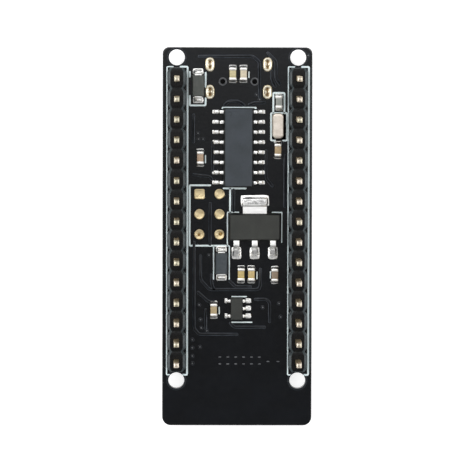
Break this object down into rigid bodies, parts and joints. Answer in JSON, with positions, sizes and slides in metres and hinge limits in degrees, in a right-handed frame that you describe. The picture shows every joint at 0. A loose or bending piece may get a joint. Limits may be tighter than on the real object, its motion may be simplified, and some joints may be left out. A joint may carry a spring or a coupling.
{
  "type": "wireless microcontroller board",
  "caption": "Narrow wireless microcontroller board with two soldered pin headers, a USB receptacle and a printed antenna end.",
  "frame": {"origin": "centre of the four corner holes, on the board face that carries the header strips", "axes": "+Z the way the header pins point, +Y towards the USB end, along the board's length"},
  "size_m": [0.0188, 0.0476, 0.0129],
  "materials": {
    "board_laminate": "black solder mask over glass-fibre laminate, satin",
    "header_plastic": "moulded black nylon",
    "gold_pin": "square pin with a thin gold plating",
    "gold_pad": "gold-plated copper",
    "solder": "reflowed solder, bright",
    "tinned_lead": "tin-plated copper alloy, bright",
    "package_epoxy": "dark moulding compound, fine grain",
    "diode_epoxy": "dark grey moulding compound",
    "capacitor_ceramic": "sintered ceramic, tan to brown",
    "resistor_ceramic": "grey glazed ceramic chip",
    "chip_terminal": "tin-plated end cap",
    "crystal_base": "ceramic package base",
    "crystal_lid": "welded metal lid",
    "connector_shell": "nickel-plated folded steel",
    "connector_plastic": "black moulded insulator",
    "connector_contact": "gold-plated contact",
    "button_plastic": "black moulded housing",
    "button_steel": "stainless sheet",
    "button_cap": "off-white moulded plunger",
    "light_base": "white base",
    "light_lens": "clear epoxy lens",
    "antenna_copper": "copper trace under black solder mask"
  },
  "bodies": {
    "board": {"antenna_trace": "antenna_copper", "button_cover": "button_steel", "button_dome": "button_steel", "button_housing": "button_plastic", "button_terminals": "tinned_lead", "capacitor_terminals": "chip_terminal", "circuit_board": "board_laminate", "component_capacitor_bodies": "capacitor_ceramic", "component_capacitor_terminals": "chip_terminal", "component_resistor_bodies": "resistor_ceramic", "component_resistor_terminals": "chip_terminal", "crystal_capacitor": "capacitor_ceramic", "header_pins_left": "gold_pin", "header_pins_right": "gold_pin", "header_solder_left": "solder", "header_solder_right": "solder", "header_strip_left": "header_plastic", "header_strip_right": "header_plastic", "indicator_bases": "light_base", "indicator_lenses": "light_lens", "indicator_terminals": "chip_terminal", "input_capacitor_left": "capacitor_ceramic", "input_capacitor_right": "capacitor_ceramic", "matching_part_bodies": "capacitor_ceramic", "matching_part_terminals": "chip_terminal", "microcontroller_body": "package_epoxy", "microcontroller_terminals": "tinned_lead", "output_capacitor": "capacitor_ceramic", "power_diode_body": "diode_epoxy", "power_diode_terminals": "tinned_lead", "programming_pads": "gold_pad", "radio_chip_body": "package_epoxy", "radio_chip_terminals": "tinned_lead", "radio_crystal_base": "crystal_base", "radio_crystal_lid": "crystal_lid", "radio_supply_capacitor": "capacitor_ceramic", "regulator_body": "package_epoxy", "regulator_leads": "tinned_lead", "regulator_tab": "tinned_lead", "reset_capacitor": "capacitor_ceramic", "resonator_body": "capacitor_ceramic", "resonator_terminals": "chip_terminal", "serial_chip_body": "package_epoxy", "serial_chip_leads": "tinned_lead", "serial_crystal_base": "crystal_base", "serial_crystal_lid": "crystal_lid", "serial_resistor_body": "resistor_ceramic", "serial_resistor_terminals": "chip_terminal", "small_regulator_body": "package_epoxy", "small_regulator_leads": "tinned_lead", "supply_diode_body": "diode_epoxy", "supply_diode_terminals": "tinned_lead", "usb_capacitor_left": "capacitor_ceramic", "usb_capacitor_right": "capacitor_ceramic", "usb_contacts": "connector_contact", "usb_insulator": "connector_plastic", "usb_shell": "connector_shell", "usb_slot_plating": "gold_pad"},
    "reset_button": {"button_plunger": "button_cap"}
  },
  "joints": [
    {"name": "reset_press", "type": "slide", "parent": "board", "child": "reset_button", "axis": [0, 0, 1], "range_m": [0, 0.00025], "stiffness_N_per_m": 4000, "deforming": ["button_dome"]}
  ]
}
